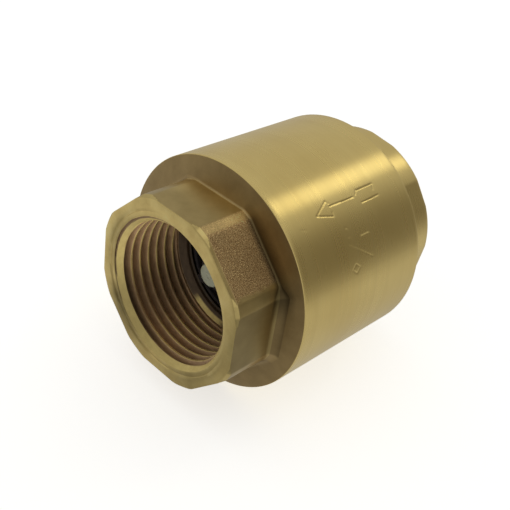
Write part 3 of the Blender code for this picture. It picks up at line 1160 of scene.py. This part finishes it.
def seal_retainer():
    """Plate that clamps the seal, with four wings that keep the poppet central in the seat."""
    back, tip = retainer_low.x, retainer_high.x
    front = back + 1.5
    hub_end = front + 2.5
    wing_inner = RETAINER_CAVITY_R + 0.3
    plate = [
        (hub_end, RETAINER_HUB_R),
        (front, RETAINER_HUB_R),
        (front, SEAT_BORE_R - 0.6),
        (back, SEAT_BORE_R - 0.6),
        (back, STEM_HOLE_R),
        (front, STEM_HOLE_R),
        (front, RETAINER_CAVITY_R),
        (hub_end, RETAINER_CAVITY_R),
    ]
    wing = [
        (back + 0.7, wing_inner),
        (tip - 1.4, wing_inner),
        (tip, RETAINER_HUB_R + 1.4),
        (tip, WING_R - 0.9),
        (tip - 0.9, WING_R),
        (back + 0.7, WING_R),
    ]
    solid = Solid()
    solid.turn(rounded(plate, 0.25), 120)
    for k in range(4):
        solid.plate(rounded(wing, 0.3), WING_THICKNESS, 90 * k, 0.2)
    return solid.make("seal_retainer_nylon", BLACK_NYLON)


# Rise of a closed turn in wire diameters, and how much thinner the wire's ends are ground.
CLOSED_PITCH = 1.08
END_TAPER = 0.88
WIRE_SIDES = 14
STEPS_PER_TURN = 48


def return_spring():
    """Compression spring with one closed turn at each end."""
    bottom, top = spring_low.x + WIRE_R, spring_high.x - WIRE_R
    closed_rise = 2 * WIRE_R * CLOSED_PITCH
    open_turns = SPRING_TURNS - 2
    open_rise = (top - bottom - 2 * closed_rise) / open_turns
    sides, count = WIRE_SIDES, round(SPRING_TURNS * STEPS_PER_TURN)
    co = []
    for i in range(count + 1):
        turn = i / STEPS_PER_TURN
        opened = min(max(turn - 1, 0), open_turns)
        closed = min(turn, 1) + max(turn - 1 - open_turns, 0)
        station = bottom + closed_rise * closed + open_rise * opened
        a = 2 * math.pi * turn - math.pi / 2
        wire = WIRE_R * (END_TAPER if i in (0, count) else 1.0)
        for side in range(sides):
            b = 2 * math.pi * side / sides
            radius = SPRING_R + wire * math.cos(b)
            co.append((station + wire * math.sin(b), radius * math.cos(a), radius * math.sin(a)))
    faces = [tuple(range(sides)), tuple(range((count + 1) * sides - 1, count * sides - 1, -1))]
    for i in range(count):
        for side in range(sides):
            low, high, after = i * sides, (i + 1) * sides, (side + 1) % sides
            faces.append((low + side, low + after, high + after, high + side))
    solid = Solid()
    solid.put(co, faces)
    return solid.make("return_spring_wire", STAINLESS)


# ------------ pieces on their bodies

HOUSING = [
    (valve_body, "valve_body", "brass"),
    (inlet_cap, "inlet_cap", "brass"),
    (stem_guide, "stem_guide", "black_nylon"),
    (body_gasket, "body_gasket", "nitrile_rubber"),
    (return_spring, "return_spring", "stainless_steel"),
]
POPPET = [
    (poppet_disc, "poppet_disc", "black_nylon"),
    (poppet_stem, "poppet_stem", "white_acetal"),
    (seat_seal, "seat_seal", "nitrile_rubber"),
    (seal_retainer, "seal_retainer", "black_nylon"),
]

for body_name, pieces in (("housing", HOUSING), ("poppet", POPPET)):
    for maker, node, slot in pieces:
        piece = maker()
        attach(piece, body_name)
        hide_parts(node)
        if node == "return_spring":
            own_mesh(piece)

# ------------ stage, light and camera

CAMERA_AT = Vector((m(-97.93), m(-78.48), m(82.18)))
CAMERA_LOOKS = Vector((0.6370, 0.5323, -0.5577))
CAMERA_ROLL = math.radians(9.27)
CAMERA_LENS = 59.81
FLOOR_HALF = 3
FLOOR_GAP = 0.0002
FLOOR_GLOW = 0.62


def make_camera():
    camera = bpy.data.objects.new("camera", bpy.data.cameras.new("camera"))
    camera.data.lens = CAMERA_LENS
    camera.data.sensor_width = 36
    camera.data.clip_start = 0.005
    camera.data.clip_end = 20
    aim = CAMERA_LOOKS.to_track_quat("-Z", "Y").to_matrix().to_4x4()
    camera.matrix_world = Matrix.Translation(CAMERA_AT) @ aim @ Matrix.Rotation(CAMERA_ROLL, 4, "Z")
    bpy.context.scene.collection.objects.link(camera)
    bpy.context.scene.camera = camera


def make_floor():
    mesh = bpy.data.meshes.new("floor")
    shape = bmesh.new()
    bmesh.ops.create_grid(shape, x_segments=1, y_segments=1, size=FLOOR_HALF)
    shape.to_mesh(mesh)
    shape.free()
    floor = bpy.data.objects.new("floor", mesh)
    floor.location.z = cad_low.z - FLOOR_GAP
    bpy.context.scene.collection.objects.link(floor)
    made, _, shader = new_material("floor")
    shader.inputs["Base Color"].default_value = (0.9, 0.9, 0.9, 1)
    shader.inputs["Roughness"].default_value = 0.9
    shader.inputs["Specular IOR Level"].default_value = 0
    shader.inputs["Emission Color"].default_value = (1, 1, 1, 1)
    shader.inputs["Emission Strength"].default_value = FLOOR_GLOW
    mesh.materials.append(made)
    floor.visible_glossy = False


def lobe(tree, direction, towards, inner, outer):
    """1 within inner degrees of a direction of the sky, 0 beyond outer."""
    dot = tree.nodes.new("ShaderNodeVectorMath")
    dot.operation = "DOT_PRODUCT"
    azimuth, elevation = (math.radians(v) for v in towards)
    tree.links.new(direction, dot.inputs[0])
    dot.inputs[1].default_value = (
        math.cos(elevation) * math.cos(azimuth),
        math.cos(elevation) * math.sin(azimuth),
        math.sin(elevation),
    )
    node = tree.nodes.new("ShaderNodeMapRange")
    node.interpolation_type = "SMOOTHSTEP"
    tree.links.new(dot.outputs["Value"], node.inputs["Value"])
    node.inputs["From Min"].default_value = math.cos(math.radians(outer))
    node.inputs["From Max"].default_value = math.cos(math.radians(inner))
    return node.outputs["Result"]


AMBIENT = (0.49, 0.485, 0.46)
# Each is ((azimuth, elevation), inner angle, outer angle, colour), with angles in degrees.
DARK_CORNERS = [
    ((-44, 12), 4, 34, (0.14, 0.125, 0.10)),
    ((174, -8), 8, 38, (0.13, 0.12, 0.11)),
    ((140, -50), 6, 17, (0.24, 0.23, 0.2)),
]
SOFTBOXES = [((-10, 42), 2.5, 9.0, (2.3, 2.25, 1.9))]


def make_world():
    """Soft grey light all round, with a bright softbox up past the inlet and dark corners.

    The camera itself sees plain white where the floor ends.
    """
    world = bpy.data.worlds.new("studio")
    bpy.context.scene.world = world
    world.use_nodes = True
    tree = world.node_tree
    background = tree.nodes["Background"]
    place = tree.nodes.new("ShaderNodeTexCoord")
    direction = tree.nodes.new("ShaderNodeVectorMath")
    direction.operation = "NORMALIZE"
    tree.links.new(place.outputs["Generated"], direction.inputs[0])
    sky = direction.outputs["Vector"]
    light = AMBIENT
    for towards, inner, outer, shade in DARK_CORNERS + SOFTBOXES:
        light = mix_colour(tree, lobe(tree, sky, towards, inner, outer), light, shade)
    path = tree.nodes.new("ShaderNodeLightPath")
    seen = mix_colour(tree, path.outputs["Is Camera Ray"], light, (1.0, 1.0, 1.0))
    tree.links.new(seen, background.inputs["Color"])
    background.inputs["Strength"].default_value = 1.0


def set_view():
    view = bpy.context.scene.view_settings
    view.view_transform = "Standard"
    view.look = "None"


make_camera()
make_floor()
make_world()
set_view()
